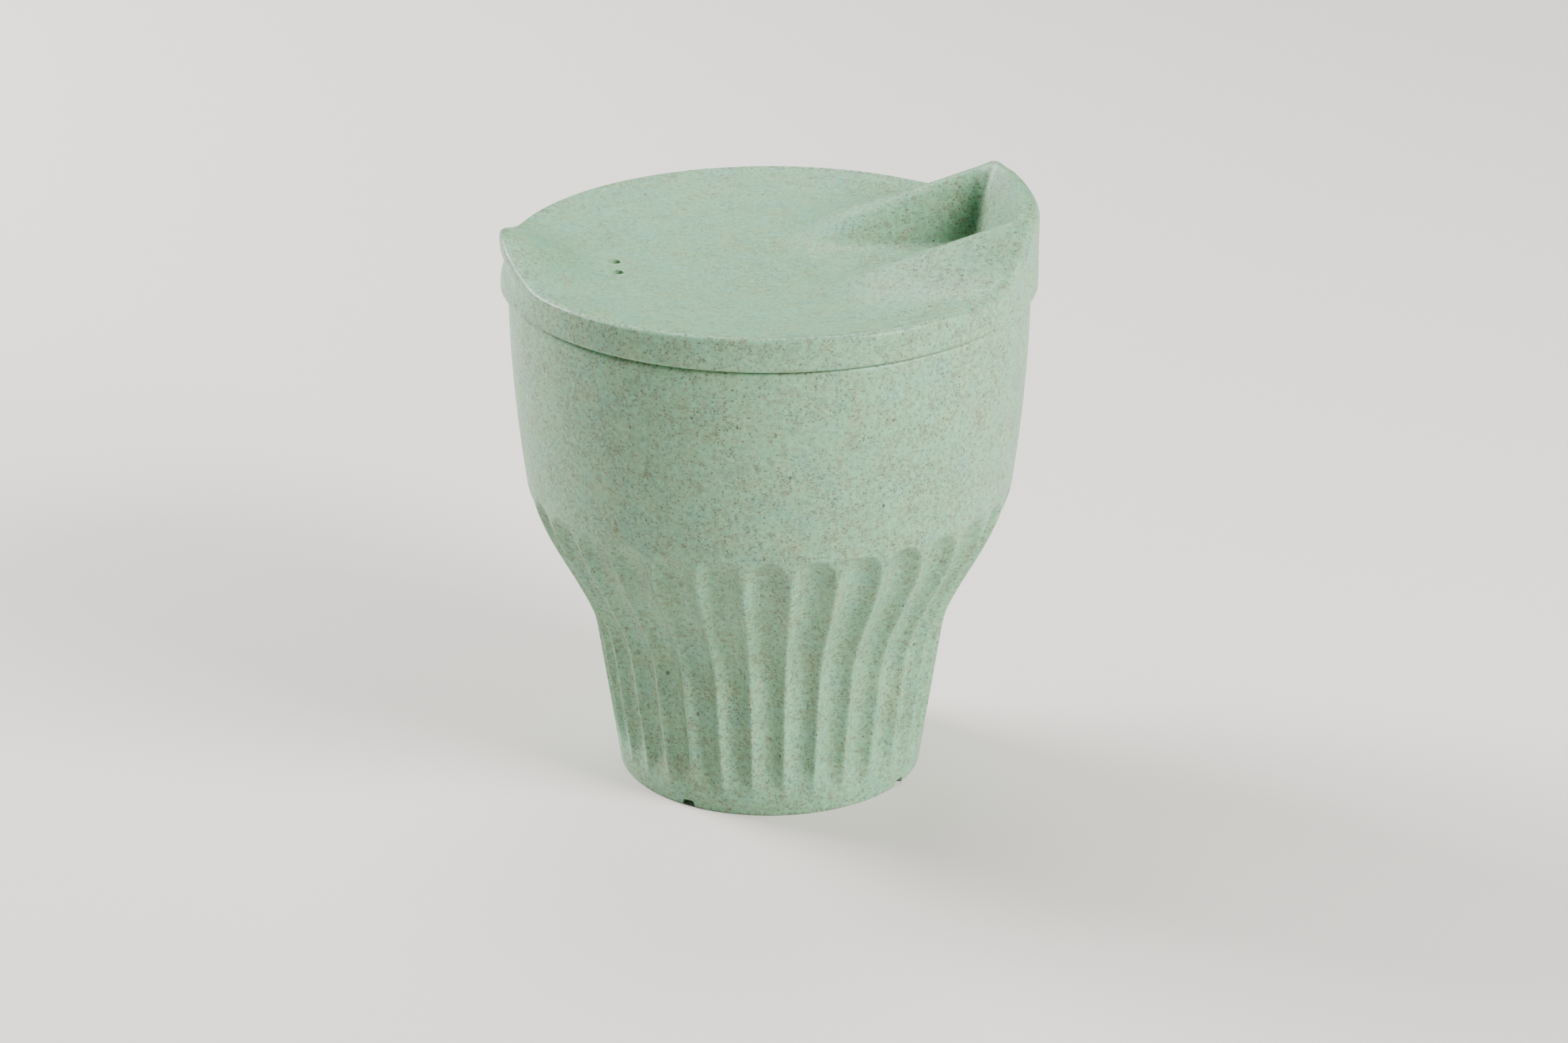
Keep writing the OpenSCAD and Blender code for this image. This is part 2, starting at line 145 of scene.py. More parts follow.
class Graph:
    """A node tree under construction."""

    def __init__(self, tree: bpy.types.NodeTree) -> None:
        """Wraps a node tree."""
        self.tree = tree

    def node(self, kind: str, **settings: object) -> bpy.types.Node:
        """Adds a node.

        Args:
            kind: Blender's name of the node type.
            **settings: Properties to set on it.

        Returns:
            The new node.
        """
        made = self.tree.nodes.new(kind)
        for name, value in settings.items():
            setattr(made, name, value)
        return made

    def feed(self, target: Socket, value: object) -> None:
        """Links a socket, or sets a plain value, into an input."""
        if isinstance(value, bpy.types.NodeSocket):
            self.tree.links.new(value, target)
        else:
            target.default_value = value

    def math(self, operation: str, *values: Value) -> Socket:
        """Adds a Math node and returns its result."""
        made = self.node("ShaderNodeMath", operation=operation)
        for target, value in zip(made.inputs, values):
            self.feed(target, value)
        return made.outputs[0]

    def vector(self, operation: str, *values: object) -> Socket:
        """Adds a Vector Math node and returns its vector."""
        made = self.node("ShaderNodeVectorMath", operation=operation)
        slots = [s for s in made.inputs if s.type == "VECTOR"]
        if operation == "SCALE":
            slots = [made.inputs[0], made.inputs["Scale"]]
        for target, value in zip(slots, values):
            self.feed(target, value)
        return made.outputs[0]

    def ramp(
        self, value: Value, low: Value, high: Value, out_low: Value = 0.0, out_high: Value = 1.0
    ) -> Socket:
        """Eased map of a value from one range to another.

        Args:
            value: Value to map.
            low: Start of the input range.
            high: End of the input range.
            out_low: Result at the start.
            out_high: Result at the end.

        Returns:
            The mapped value.
        """
        made = self.node("ShaderNodeMapRange", interpolation_type="SMOOTHSTEP")
        items = {"Value": value, "From Min": low, "From Max": high, "To Min": out_low, "To Max": out_high}
        for name, item in items.items():
            self.feed(made.inputs[name], item)
        return made.outputs["Result"]

    def mix(self, factor: Value, a: object, b: object) -> Socket:
        """Mixes two colours and returns the result."""
        made = self.node("ShaderNodeMix", data_type="RGBA")
        self.feed(made.inputs["Factor"], factor)
        self.feed(made.inputs[6], a if isinstance(a, bpy.types.NodeSocket) else (*a, 1.0))
        self.feed(made.inputs[7], b if isinstance(b, bpy.types.NodeSocket) else (*b, 1.0))
        return made.outputs[2]

    def noise(self, coords: Socket, scale: float, detail: float = 2.0, output: str = "Fac") -> Socket:
        """Adds a noise.

        Args:
            coords: Where to look it up.
            scale: Cycles per unit of the coordinates.
            detail: Number of finer layers.
            output: Fac for one value, or Color for three.

        Returns:
            The noise.
        """
        made = self.node("ShaderNodeTexNoise", noise_dimensions="3D")
        self.feed(made.inputs["Vector"], coords)
        made.inputs["Scale"].default_value = scale
        made.inputs["Detail"].default_value = detail
        return made.outputs[output]

    def split(self, vector: Socket) -> tuple[Socket, Socket, Socket]:
        """Splits a vector into X, Y and Z."""
        made = self.node("ShaderNodeSeparateXYZ")
        self.feed(made.inputs[0], vector)
        return made.outputs[0], made.outputs[1], made.outputs[2]

    def join(self, x: Value = 0.0, y: Value = 0.0, z: Value = 0.0) -> Socket:
        """Joins X, Y and Z into a vector."""
        made = self.node("ShaderNodeCombineXYZ")
        for target, value in zip(made.inputs, (x, y, z)):
            self.feed(target, value)
        return made.outputs[0]

    def moved(self, geometry: Socket, kind: str, by: object) -> Socket:
        """Moves geometry, by a Translation or a Rotation."""
        made = self.node("GeometryNodeTransform")
        self.feed(made.inputs["Geometry"], geometry)
        self.feed(made.inputs[kind], by)
        return made.outputs["Geometry"]

    def copies(self, points: Socket, instance: Socket, rotation: Socket | None = None) -> Socket:
        """Sets a copy of some geometry on every point.

        Args:
            points: Where the copies go.
            instance: Geometry to copy.
            rotation: Turn of each copy.

        Returns:
            The copies as real geometry.
        """
        spots = self.node("GeometryNodeInstanceOnPoints")
        self.feed(spots.inputs["Points"], points)
        self.feed(spots.inputs["Instance"], instance)
        if rotation is not None:
            self.feed(spots.inputs["Rotation"], rotation)
        real = self.node("GeometryNodeRealizeInstances")
        self.feed(real.inputs["Geometry"], spots.outputs["Instances"])
        return real.outputs["Geometry"]

    def block(self, outline: Socket, corner: Value, corner_steps: int, depth: Value) -> Socket:
        """Makes a closed block from an outline with rounded corners.

        Args:
            outline: Closed flat curve.
            corner: Radius of its corners.
            corner_steps: Number of points on each corner.
            depth: Length of the block.

        Returns:
            The block.
        """
        fillet = self.node("GeometryNodeFilletCurve", mode="POLY")
        self.feed(fillet.inputs["Curve"], outline)
        fillet.inputs["Count"].default_value = corner_steps
        self.feed(fillet.inputs["Radius"], corner)
        face = self.node("GeometryNodeFillCurve", mode="NGONS")
        self.feed(face.inputs["Curve"], fillet.outputs["Curve"])
        sides = self.node("GeometryNodeExtrudeMesh", mode="FACES")
        self.feed(sides.inputs["Mesh"], face.outputs["Mesh"])
        self.feed(sides.inputs["Offset Scale"], depth)
        back = self.node("GeometryNodeFlipFaces")
        self.feed(back.inputs["Mesh"], face.outputs["Mesh"])
        both = self.node("GeometryNodeJoinGeometry")
        self.feed(both.inputs["Geometry"], sides.outputs["Mesh"])
        self.feed(both.inputs["Geometry"], back.outputs["Mesh"])
        weld = self.node("GeometryNodeMergeByDistance")
        self.feed(weld.inputs["Geometry"], both.outputs["Geometry"])
        weld.inputs["Distance"].default_value = WELD
        return weld.outputs["Geometry"]

    def place(self) -> None:
        """Lays the nodes out in a grid, so that the tree can be read."""
        for i, made in enumerate(self.tree.nodes):
            made.location = (220 * (i // 4), -260 * (i % 4))


def ring_mesh(name: str, rings: np.ndarray) -> bpy.types.Object:
    """Joins rings of points into one closed skin.

    Args:
        name: Name of the object.
        rings: Array of rows, columns and coordinates in millimetres. Each end of the rows is closed
            with a point at the middle of its ring.

    Returns:
        The object, smooth shaded.
    """
    rows, columns, _ = rings.shape
    ends = np.array([rings[0].mean(axis=0), rings[-1].mean(axis=0)])
    points = np.vstack([rings.reshape(-1, 3), ends]) * MM
    index = np.arange(rows * columns).reshape(rows, columns)
    after = np.roll(index, -1, axis=1)
    quads = np.stack([index[:-1], index[1:], after[1:], after[:-1]], axis=-1).reshape(-1, 4)
    first, last = rows * columns, rows * columns + 1
    fans = [(first, int(a), int(b)) for a, b in zip(index[0], after[0])]
    fans += [(last, int(b), int(a)) for a, b in zip(index[-1], after[-1])]
    mesh = bpy.data.meshes.new(name)
    mesh.from_pydata(points.tolist(), [], quads.tolist() + fans)
    mesh.shade_smooth()
    made = bpy.data.objects.new(name, mesh)
    bpy.context.scene.collection.objects.link(made)
    return made


def lathe_rings(outline: Sequence[tuple[float, float]], azimuths: np.ndarray) -> np.ndarray:
    """Turns an outline of radius and height into rings at the given azimuths, in radians."""
    r = np.array([p[0] for p in outline])[:, None]
    z = np.array([p[1] for p in outline])[:, None]
    flat = np.ones_like(azimuths)[None]
    return np.stack([r * np.cos(azimuths), r * np.sin(azimuths), z * flat], axis=-1)


@dataclass
class ShapeTree:
    """A Geometry Nodes tree with named inputs for its sizes."""

    name: str
    sizes: dict[str, float]
    counts: dict[str, int] = field(default_factory=dict)

    def __post_init__(self) -> None:
        """Makes the tree's inputs and output."""
        self.tree = bpy.data.node_groups.new(self.name, "GeometryNodeTree")
        face = self.tree.interface
        face.new_socket("Geometry", in_out="INPUT", socket_type="NodeSocketGeometry")
        face.new_socket("Geometry", in_out="OUTPUT", socket_type="NodeSocketGeometry")
        self.ids: dict[str, str] = {}
        for label in self.counts:
            self.ids[label] = face.new_socket(label, in_out="INPUT", socket_type="NodeSocketInt").identifier
        for label in self.sizes:
            self.ids[label] = face.new_socket(label, in_out="INPUT", socket_type="NodeSocketFloat").identifier
        self.ids["Material"] = face.new_socket(
            "Material", in_out="INPUT", socket_type="NodeSocketMaterial"
        ).identifier
        self.graph = Graph(self.tree)
        self.inlet = self.graph.node("NodeGroupInput")
        self.outlet = self.graph.node("NodeGroupOutput")

    def size(self, label: str) -> Socket:
        """Named input of the tree."""
        return self.inlet.outputs[label]

    def close(self, geometry: Socket) -> None:
        """Ends the tree in Realize Instances and Set Material."""
        g = self.graph
        real = g.node("GeometryNodeRealizeInstances")
        g.feed(real.inputs["Geometry"], geometry)
        dress = g.node("GeometryNodeSetMaterial")
        g.feed(dress.inputs["Geometry"], real.outputs["Geometry"])
        g.feed(dress.inputs["Material"], self.size("Material"))
        g.feed(self.outlet.inputs["Geometry"], dress.outputs["Geometry"])
        g.place()

    def bake(self, target: bpy.types.Object, material: bpy.types.Material) -> bpy.types.Object:
        """Runs the tree on an object and keeps the result as its plain mesh.

        Args:
            target: Object whose mesh goes in.
            material: Material that the tree sets.

        Returns:
            The same object, with the new mesh and no modifier.
        """
        modifier = target.modifiers.new(self.name, "NODES")
        modifier.node_group = self.tree
        for label, value in {**self.counts, **self.sizes}.items():
            modifier[self.ids[label]] = value
        modifier[self.ids["Material"]] = material
        graph = bpy.context.evaluated_depsgraph_get()
        mesh = bpy.data.meshes.new_from_object(target.evaluated_get(graph), depsgraph=graph)
        target.modifiers.remove(modifier)
        old = target.data
        target.data = mesh
        mesh.name = target.name
        bpy.data.meshes.remove(old)
        mesh.materials.clear()
        mesh.materials.append(material)
        mesh.polygons.foreach_set("material_index", [0] * len(mesh.polygons))
        return target


def finish_piece(
    piece: bpy.types.Object, material: bpy.types.Material, body: Body, node: str
) -> None:
    """Dresses a piece and joins it to the frame.

    Args:
        piece: Finished mesh object.
        material: Its material.
        body: Body it rides on.
        node: CAD node it stands for.
    """
    mesh = piece.data
    if not mesh.materials:
        mesh.materials.append(material)
    mesh.shade_smooth()
    mesh.set_sharp_from_angle(angle=math.radians(SHARP_EDGE))
    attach(piece, body.value)
    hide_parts(node)
    mesh.calc_loop_triangles()
    LOG.info("%s: %d triangles on body %s", piece.name, len(mesh.loop_triangles), body.value)


# --------------------------------------------------------------------------- finishes


def new_material(name: str) -> tuple[bpy.types.Material, Graph, bpy.types.Node, Socket]:
    """Makes a material.

    Args:
        name: Name of the material.

    Returns:
        The material, its graph, its shader and its object coordinates.
    """
    made = bpy.data.materials.new(name)
    made.use_nodes = True
    g = Graph(made.node_tree)
    coords = g.node("ShaderNodeTexCoord").outputs["Object"]
    return made, g, made.node_tree.nodes["Principled BSDF"], coords


def faded(colour: Colour, share: float) -> Colour:
    """A colour with each channel at a share of itself."""
    return tuple(share * c for c in colour)


@dataclass(frozen=True)
class Flecks:
    """One kind of plant-fibre fleck in the plastic.

    Sizes are in millimetres. share is the part of the cells that hold a fleck, strength how strongly
    the strongest of them tint the plastic, blur how soft their edges are as a share of the cell, and
    squeeze how much shorter they are along X, Y and Z.
    """

    cell: float
    radius: float
    share: float
    strength: float
    blur: float
    squeeze: tuple[float, float, float]
    dark: Colour
    warm: Colour


@dataclass(frozen=True)
class FleckedPlastic:
    """Satin moulded plastic filled with plant fibre.

    patches, tones, mottle and wobble are noise scales in cycles per millimetre, for the flecks'
    density, the slow change of tone, the fine mottling and the flecks' uneven outlines. sheen_veil is
    the share by which flecks and mottling are painted weaker in the smooth middle of a round top, a
    painted sheen standing for the glossy veil that washes them out there. It covers the area inside
    sheen_veil_r millimetres of the axis and away from the +X side, where they fade in from sheen_veil_x
    to sheen_veil_end_x.
    """

    name: str
    base: Colour
    warm: Colour
    cool: Colour
    shade: Colour
    light: Colour
    roughness: float
    specular: float
    flecks: tuple[Flecks, ...]
    patches: float = 0.16
    tones: float = 0.22
    mottle: float = 1.1
    wobble: float = 3.0
    sheen_veil: float = 0.0
    sheen_veil_r: float = 45.0
    sheen_veil_x: float = 8.0
    sheen_veil_end_x: float = 28.0

    def material(self) -> bpy.types.Material:
        """Builds the material."""
        made, g, shader, coords = new_material(self.name)
        grain = g.vector("SCALE", coords, 1.0 / MM)
        density = g.ramp(g.noise(grain, self.patches, 3.0), 0.32, 0.68, 0.55, 1.5)
        wobble = g.vector("SUBTRACT", g.noise(grain, self.wobble, output="Color"), (0.5, 0.5, 0.5))
        elsewhere = g.vector("ADD", grain, (31.0, 7.0, 13.0))
        tone = g.noise(elsewhere, self.tones, 3.0)
        colour = g.mix(g.ramp(tone, 0.3, 0.48), self.cool, self.base)
        colour = g.mix(g.ramp(tone, 0.52, 0.7), colour, self.warm)
        mottle = g.noise(grain, self.mottle, 4.0)
        # Painted sheen: flecks and mottling are weakened in the middle of a round top, standing for the
        # glossy veil that washes them out
        sheen_weight = self._sheen_weight(g, grain)
        half = g.math("MULTIPLY", sheen_weight, 0.5)
        colour = g.mix(g.ramp(mottle, 0.5, 0.32, 0.0, half), colour, self.shade)
        colour = g.mix(g.ramp(mottle, 0.5, 0.68, 0.0, half), colour, self.light)
        cover: Value = 0.0
        for layer in self.flecks:
            mask, tint = self._layer(g, grain, wobble, density, layer)
            mask = g.math("MULTIPLY", mask, sheen_weight)
            colour = g.mix(mask, colour, tint)
            cover = g.math("MAXIMUM", cover, mask)
        g.feed(shader.inputs["Base Color"], colour)
        gloss = g.ramp(g.noise(grain, 0.6), 0.3, 0.7, self.roughness - 0.04, self.roughness + 0.04)
        g.feed(shader.inputs["Roughness"], g.math("MULTIPLY_ADD", cover, 0.1, gloss))
        bump = g.node("ShaderNodeBump")
        bump.inputs["Strength"].default_value = 0.35
        bump.inputs["Distance"].default_value = 0.04 * MM
        skin = g.math("MULTIPLY_ADD", g.noise(grain, 0.35), 1.5, g.noise(grain, 2.2))
        g.feed(bump.inputs["Height"], g.math("MULTIPLY_ADD", cover, -0.5, skin))
        g.feed(shader.inputs["Normal"], bump.outputs["Normal"])
        shader.inputs["IOR"].default_value = 1.46
        shader.inputs["Specular IOR Level"].default_value = self.specular
        g.place()
        return made

    def _sheen_weight(self, g: Graph, grain: Socket) -> Socket:
        """Strength of flecks and mottling, lower in the middle of a round top, where they are painted weaker
        as a painted sheen.
        """
        x, y, _ = g.split(grain)
        r = g.math("SQRT", g.math("MULTIPLY_ADD", x, x, g.math("MULTIPLY", y, y)))
        inside = g.ramp(r, self.sheen_veil_r + 1.0, self.sheen_veil_r - 1.0)
        middle = g.math("MULTIPLY", inside, g.ramp(x, self.sheen_veil_end_x, self.sheen_veil_x))
        return g.math("MULTIPLY_ADD", middle, -self.sheen_veil, 1.0)

    @staticmethod
    def _layer(
        g: Graph, grain: Socket, wobble: Socket, density: Socket, layer: Flecks
    ) -> tuple[Socket, Socket]:
        """Adds one kind of fleck.

        Args:
            g: Material under construction.
            grain: Coordinates in millimetres.
            wobble: Fine noise that makes the flecks' outlines uneven.
            density: How thickly the flecks lie here, 1 on average.
            layer: Sizes and colours of the flecks.

        Returns:
            The flecks' mask and their colour.
        """
        shift = g.vector("SCALE", wobble, 1.8 * layer.radius)
        squeezed = g.vector("MULTIPLY", g.vector("ADD", grain, shift), layer.squeeze)
        cells = g.node("ShaderNodeTexVoronoi", voronoi_dimensions="3D", feature="F1")
        g.feed(cells.inputs["Vector"], squeezed)
        cells.inputs["Scale"].default_value = 1.0 / layer.cell
        pick = g.node("ShaderNodeSeparateColor")
        g.feed(pick.inputs["Color"], cells.outputs["Color"])
        holds = g.math("LESS_THAN", pick.outputs["Red"], g.math("MULTIPLY", density, layer.share))
        size = layer.radius / layer.cell
        reach = g.ramp(pick.outputs["Blue"], 0.0, 1.0, 0.6 * size, 1.25 * size)
        solid = g.ramp(g.math("SUBTRACT", reach, cells.outputs["Distance"]), 0.0, layer.blur)
        depth = g.ramp(pick.outputs["Green"], 0.0, 1.0, 0.4 * layer.strength, layer.strength)
        mask = g.math("MULTIPLY", g.math("MULTIPLY", solid, depth), holds)
        tint = g.mix(g.ramp(pick.outputs["Blue"], 0.3, 0.7), layer.dark, layer.warm)
        return mask, tint


@dataclass(frozen=True)
class Silicone:
    """Milky soft silicone."""

    name: str
    base: Colour

    def material(self) -> bpy.types.Material:
        """Builds the material."""
        made, g, shader, coords = new_material(self.name)
        cloud = g.noise(coords, 180.0)
        g.feed(shader.inputs["Base Color"], g.mix(cloud, self.base, faded(self.base, 0.93)))
        g.feed(shader.inputs["Roughness"], g.ramp(cloud, 0.2, 0.8, 0.42, 0.52))
        shader.inputs["Subsurface Weight"].default_value = 0.3
        shader.inputs["Subsurface Radius"].default_value = (0.004, 0.0035, 0.003)
        shader.inputs["Subsurface Scale"].default_value = 0.5
        g.place()
        return made


@dataclass(frozen=True)
class Paper:
    """Matt backdrop paper."""

    name: str
    base: Colour

    def material(self) -> bpy.types.Material:
        """Builds the material."""
        made, g, shader, coords = new_material(self.name)
        fibre = g.noise(coords, 4.0)
        g.feed(shader.inputs["Base Color"], g.mix(fibre, self.base, faded(self.base, 0.99)))
        shader.inputs["Roughness"].default_value = 0.9
        shader.inputs["Specular IOR Level"].default_value = 0.1
        g.place()
        return made


FIBRE_GREY: Colour = (0.03, 0.045, 0.04)
FIBRE_OLIVE: Colour = (0.06, 0.08, 0.055)
FIBRE_BROWN: Colour = (0.125, 0.09, 0.06)
FIBRE_TAN: Colour = (0.235, 0.2, 0.14)

FIBRES = (
    Flecks(1.9, 0.95, 0.6, 0.4, 0.4, (1.0, 1.0, 1.2), FIBRE_TAN, FIBRE_BROWN),
    Flecks(0.95, 0.46, 0.7, 0.55, 0.3, (1.0, 1.0, 1.3), FIBRE_BROWN, FIBRE_TAN),
    Flecks(0.6, 0.29, 0.7, 0.75, 0.3, (1.0, 1.0, 1.2), FIBRE_OLIVE, FIBRE_BROWN),
    Flecks(0.5, 0.24, 0.7, 0.75, 0.3, (1.0, 1.0, 1.0), FIBRE_BROWN, FIBRE_OLIVE),
    Flecks(2.4, 0.33, 0.35, 0.95, 0.06, (1.0, 1.0, 0.7), FIBRE_GREY, FIBRE_OLIVE),
)

GREEN_PLASTIC = FleckedPlastic(
    name="mint_fibre_plastic",
    base=(0.187, 0.371, 0.221),
    warm=(0.215, 0.359, 0.205),
    cool=(0.171, 0.373, 0.25),
    shade=(0.125, 0.236, 0.145),
    light=(0.25, 0.483, 0.308),
    roughness=0.42,
    specular=0.4,
    flecks=FIBRES,
)
# The lid's plastic is the same plastic with a painted sheen: flecks and mottling weakened in the middle of
# its top
LID_PLASTIC = replace(GREEN_PLASTIC, name="mint_fibre_plastic_lid", sheen_veil=0.35)
SEAL_SILICONE = Silicone(name="milky_silicone", base=(0.72, 0.71, 0.66))
BACKDROP_PAPER = Paper(name="pale_paper", base=(0.69, 0.655, 0.622))


# --------------------------------------------------------------------------- cup


@dataclass
class Cup:
    """The cup: fluted wall, rim, floor and foot, all one moulding. Sizes are in millimetres."""

    height: float = 93.8
    rim_r: float = 47.15
    rim_round: float = 0.9
    foot_r: float = 28.0
    waist_slope: float = 0.15
    waist_z: float = 27.0
    waist_r: float = 32.1
    shoulder_z: float = 57.0
    shoulder_in: float = 2.6
    shoulder_slope: float = 0.136
    wall: float = 2.3
    mouth_deep: float = 10.8
    line_below: float = 1.9
    line_h: float = 0.3
    line_out: float = 0.05
    flutes: int = 32
    flute_deep: float = 0.063
    flute_power: float = 2.2
    flute_low: float = 2.5
    flute_fade: float = 9.0
    flute_top: float = 57.6
    arch_h: float = 7.5
    arch_power: float = 3.0
    arch_soft: float = 0.0009
    ridge_turn: float = -1.955
    ridge_width: float = 0.17
    flute_steps: int = 16
    backing: float = 0.8
    foot_w: float = 2.4
    foot_lift: float = 2.8
    foot_round: float = 0.3
    floor_t: float = 3.0
    floor_round: float = 5.0
    notches: int = 4
    notch_w: float = 2.8
    notch_top_w: float = 2.1
    notch_h: float = 1.3
    notch_round: float = 0.35
    notch_turn: float = 51.0

    def wall_r(self, z: np.ndarray) -> np.ndarray:
        """Outer radius on the flutes' ridges at height z, as three smooth spans."""
        knots = (
            (0.0, self.foot_r, self.waist_slope),
            (self.waist_z, self.waist_r, self.waist_slope),
            (self.shoulder_z, self.rim_r - self.shoulder_in, self.shoulder_slope),
            (self.height, self.rim_r, 0.0),
        )
        z = np.clip(np.asarray(z, dtype=float), 0.0, self.height)
        r = np.zeros_like(z)
        for (z0, r0, m0), (z1, r1, m1) in zip(knots[:-1], knots[1:]):
            inside = (z >= z0) & (z <= z1)
            h = z1 - z0
            t = (z[inside] - z0) / h
            r[inside] = (
                r0 * (2 * t**3 - 3 * t**2 + 1) + m0 * h * (t**3 - 2 * t**2 + t)
                + r1 * (3 * t**2 - 2 * t**3) + m1 * h * (t**3 - t**2)
            )
        return r

    def inner_r(self, z: float) -> float:
        """Inner radius at height z, where the wall is thicker behind the flutes."""
        arch = max((z - self.flute_top) / self.arch_h + 1.0, 0.0)
        sunk = max(1.0 - self.ridge_width - arch**self.arch_power, 0.0)
        fade = float(ease(np.asarray((z - self.flute_low) / self.flute_fade)))
        outer = float(self.wall_r(z))
        return outer - self.wall - self.backing * outer * self.flute_deep * sunk * fade

    def _inside(self) -> Outline:
        """Outline of the inside, from the middle of the floor up to the mouth."""
        floor_z = self.foot_lift + self.floor_t
        bend_z = floor_z + self.floor_round
        bend_r = self.inner_r(bend_z) - self.floor_round
        mouth_r = self.rim_r - self.wall
        mouth_z = self.height - self.mouth_deep
        low = [(bend_r * k / 4, floor_z) for k in (0.1, 1, 2, 3)]
        bend = arc((bend_r, bend_z), self.floor_round, -90, -8, 8)
        heights = np.linspace(bend_z, mouth_z - 1.0, 26)
        wall = [(self.inner_r(float(z)), float(z)) for z in heights]
        lip = self.rim_round / 2
        mouth = [(mouth_r, mouth_z), (mouth_r, self.height - 4.0), (mouth_r, self.height - lip)]
        edge = arc((mouth_r + lip, self.height - lip), lip, 180, 90, 4)[1:]
        return low + bend + wall + mouth + edge

    def _outside(self) -> Outline:
        """Outline of the outside, from the rim down to the foot."""
        edge = arc((self.rim_r - self.rim_round, self.height - self.rim_round), self.rim_round, 90, 0, 6)
        line_z = self.height - self.line_below
        near = [line_z + self.line_h * k for k in (1.5, 1.0, 0.6, 0.3, 0.0, -0.3, -0.6, -1.0, -1.5)]
        upper = np.linspace(line_z - 2.0, self.flute_top + 0.5, 14)
        arches = np.linspace(self.flute_top, self.flute_top - self.arch_h, 22)
        belly = np.linspace(self.flute_top - self.arch_h - 0.8, self.waist_z, 22)
        lower = np.linspace(self.waist_z - 1.2, self.flute_low + self.flute_fade, 10)
        fade = np.linspace(self.flute_low + self.flute_fade - 0.6, self.flute_low, 14)
        foot = [1.6, 0.9, self.foot_round]
        heights = [*near, *upper, *arches, *belly, *lower, *fade, *foot]
        wall = []
        for z in heights:
            bump = self.line_out * math.exp(-(((z - line_z) / (0.4 * self.line_h)) ** 2))
            wall.append((float(self.wall_r(z)) + bump, float(z)))
        return edge + wall

    def _underside(self) -> Outline:
        """Outline of the foot ring and the hollow under the floor."""
        ring_r = self.foot_r - self.foot_w
        turn = self.foot_round
        outer = arc((self.foot_r - turn, turn), turn, -30, -90, 3)
        inner = arc((ring_r + turn, turn), turn, -90, -180, 3)
        low = [(ring_r - 0.5, self.foot_lift - 0.8), (ring_r - 1.3, self.foot_lift)]
        middle = [((ring_r - 1.3) * k, self.foot_lift) for k in (0.8, 0.5, 0.25, 0.02)]
        return outer + inner + low + middle

    def _azimuths(self) -> np.ndarray:
        """Azimuths of the columns, closer together at the ridges."""
        u = np.arange(self.flute_steps) / self.flute_steps * 2.0 - 1.0
        within = 0.5 + 0.5 * np.sin(np.pi / 2 * u)
        pitch = 2 * np.pi / self.flutes
        starts = np.arange(self.flutes)[:, None]
        return (math.radians(self.ridge_turn) + (starts + within[None]) * pitch).reshape(-1)

    def _flute_tree(self) -> ShapeTree:
        """Tree that sinks the flutes into the outer wall and cuts the drain notches."""
        shape = ShapeTree(
            "flutes_and_notches",
            sizes={
                "Flute Depth": self.flute_deep,
                "Flute Power": self.flute_power,
                "Flute Low": self.flute_low * MM,
                "Flute Fade": self.flute_fade * MM,
                "Flute Top": self.flute_top * MM,
                "Arch Height": self.arch_h * MM,
                "Arch Power": self.arch_power,
                "Ridge Turn": math.radians(self.ridge_turn),
                "Ridge Width": self.ridge_width,
                "Notch Radius": (self.foot_r - self.foot_w / 2) * MM,
                "Notch Width": self.notch_w * MM,
                "Notch Top Width": self.notch_top_w * MM,
                "Notch Height": self.notch_h * MM,
                "Notch Round": self.notch_round * MM,
                "Notch Length": (self.foot_w + 2.4) * MM,
                "Notch Turn": math.radians(self.notch_turn),
            },
            counts={"Flutes": self.flutes, "Notches": self.notches},
        )
        fluted = self._fluted(shape)
        cut = shape.graph.node("GeometryNodeMeshBoolean", operation="DIFFERENCE", solver="EXACT")
        shape.graph.feed(cut.inputs["Mesh 1"], fluted)
        shape.graph.feed(cut.inputs["Mesh 2"], self._notch_cutters(shape))
        shape.close(cut.outputs["Mesh"])
        return shape

    def _fluted(self, shape: ShapeTree) -> Socket:
        """Nodes that move the outer wall inwards along each flute.

        Args:
            shape: Tree under construction.

        Returns:
            The fluted geometry.
        """
        g = shape.graph
        place = g.node("GeometryNodeInputPosition").outputs[0]
        x, y, z = g.split(place)
        turned = g.math("SUBTRACT", g.math("ARCTAN2", y, x), shape.size("Ridge Turn"))
        pitches = g.math("DIVIDE", shape.size("Flutes"), 2 * math.pi)
        across = g.math("FRACT", g.math("MULTIPLY", turned, pitches))
        q = g.math("ABSOLUTE", g.math("MULTIPLY_ADD", across, 2.0, -1.0))
        width = shape.size("Ridge Width")
        past = g.math("MAXIMUM", g.math("ADD", g.math("SUBTRACT", q, 1.0), width), 0.0)
        crown = g.math("SUBTRACT", g.math("DIVIDE", g.math("MULTIPLY", past, past), width), width)
        cove = g.math("ADD", g.math("SUBTRACT", 1.0, g.math("POWER", q, shape.size("Flute Power"))), crown)
        arch_low = g.math("SUBTRACT", shape.size("Flute Top"), shape.size("Arch Height"))
        rise = g.math("DIVIDE", g.math("SUBTRACT", z, arch_low), shape.size("Arch Height"))
        s = g.math("MAXIMUM", rise, 0.0)
        sink = g.math("SUBTRACT", cove, g.math("POWER", s, shape.size("Arch Power")))
        soft = g.math("SQRT", g.math("MULTIPLY_ADD", sink, sink, self.arch_soft))
        sunk = g.math("MULTIPLY", g.math("ADD", sink, soft), 0.5)
        fade_end = g.math("ADD", shape.size("Flute Low"), shape.size("Flute Fade"))
        fade = g.ramp(z, shape.size("Flute Low"), fade_end)
        outer = g.node("GeometryNodeInputNamedAttribute", data_type="FLOAT")
        outer.inputs["Name"].default_value = "outer"
